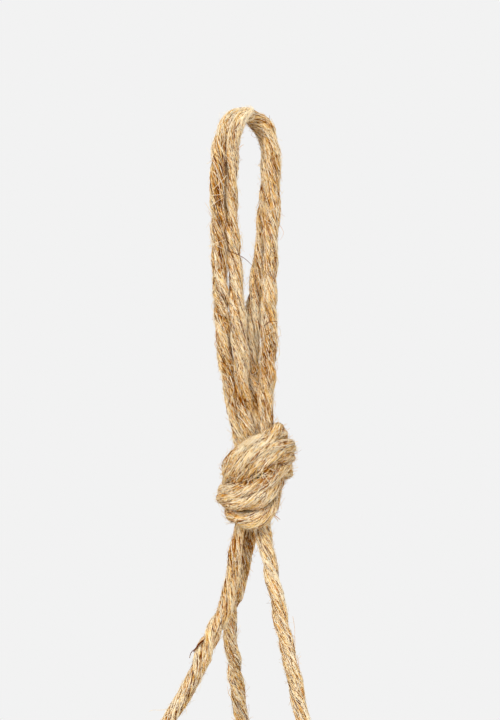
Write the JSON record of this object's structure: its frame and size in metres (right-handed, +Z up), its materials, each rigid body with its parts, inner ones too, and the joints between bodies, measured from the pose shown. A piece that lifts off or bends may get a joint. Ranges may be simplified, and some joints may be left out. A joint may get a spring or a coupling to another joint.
{
  "type": "hanging macrame planter",
  "caption": "Twisted jute rope hanger with a knotted loop, splayed legs and a knotted net that cradles a tapered pot above a tassel.",
  "frame": {"origin": "hook point: the inside of the rope loop at its top", "axes": "+Z up along the hanging line, -Y towards the picture's viewer, +X to the viewer's right"},
  "size_m": [0.1618, 0.1631, 0.6699],
  "materials": {
    "jute_rope": "natural twisted jute rope, dry and hairy",
    "stoneware": "matt off-white stoneware"
  },
  "bodies": {
    "loop": {"loop_rope_inner": "jute_rope", "loop_rope_outer": "jute_rope", "neck_strand_left_inner": "jute_rope", "neck_strand_left_outer": "jute_rope", "neck_strand_right_inner": "jute_rope", "neck_strand_right_outer": "jute_rope"},
    "hanger": {"base_cord_front_a": "jute_rope", "base_cord_front_b": "jute_rope", "base_cord_rear_left_a": "jute_rope", "base_cord_rear_left_b": "jute_rope", "base_cord_rear_right_a": "jute_rope", "base_cord_rear_right_b": "jute_rope", "gather_knot_core": "jute_rope", "gather_knot_wraps": "jute_rope", "leg_back": "jute_rope", "leg_left": "jute_rope", "leg_right": "jute_rope", "lower_knot_front_core": "jute_rope", "lower_knot_front_turns": "jute_rope", "lower_knot_rear_left_core": "jute_rope", "lower_knot_rear_left_turns": "jute_rope", "lower_knot_rear_right_core": "jute_rope", "lower_knot_rear_right_turns": "jute_rope", "net_cord_back_rear_left": "jute_rope", "net_cord_back_rear_right": "jute_rope", "net_cord_left_front": "jute_rope", "net_cord_left_rear_left": "jute_rope", "net_cord_right_front": "jute_rope", "net_cord_right_rear_right": "jute_rope", "top_knot_band": "jute_rope", "top_knot_core": "jute_rope", "upper_knot_back_core": "jute_rope", "upper_knot_back_turns": "jute_rope", "upper_knot_left_core": "jute_rope", "upper_knot_left_turns": "jute_rope", "upper_knot_right_core": "jute_rope", "upper_knot_right_turns": "jute_rope"},
    "pot": {"pot": "stoneware"},
    "tassel": {"tassel_strand_1": "jute_rope", "tassel_strand_2": "jute_rope", "tassel_strand_3": "jute_rope", "tassel_strand_4": "jute_rope", "tassel_strand_5": "jute_rope", "tassel_strand_6": "jute_rope"}
  },
  "joints": [
    {"name": "hanger_swing", "type": "hinge", "parent": "loop", "child": "hanger", "pos_m": [-0.0035, 0, -0.113], "axis": [0, 1, 0], "range_deg": [-25, 25], "deforming": ["neck_strand_left_inner", "neck_strand_left_outer", "neck_strand_right_inner", "neck_strand_right_outer"]},
    {"name": "pot_turn", "type": "hinge", "parent": "hanger", "child": "pot", "pos_m": [-0.0035, 0, -0.496], "axis": [0, 0, 1], "continuous": true},
    {"name": "tassel_swing", "type": "hinge", "parent": "hanger", "child": "tassel", "pos_m": [-0.0035, 0, -0.5449], "axis": [0, 1, 0], "range_deg": [-15, 15]}
  ]
}
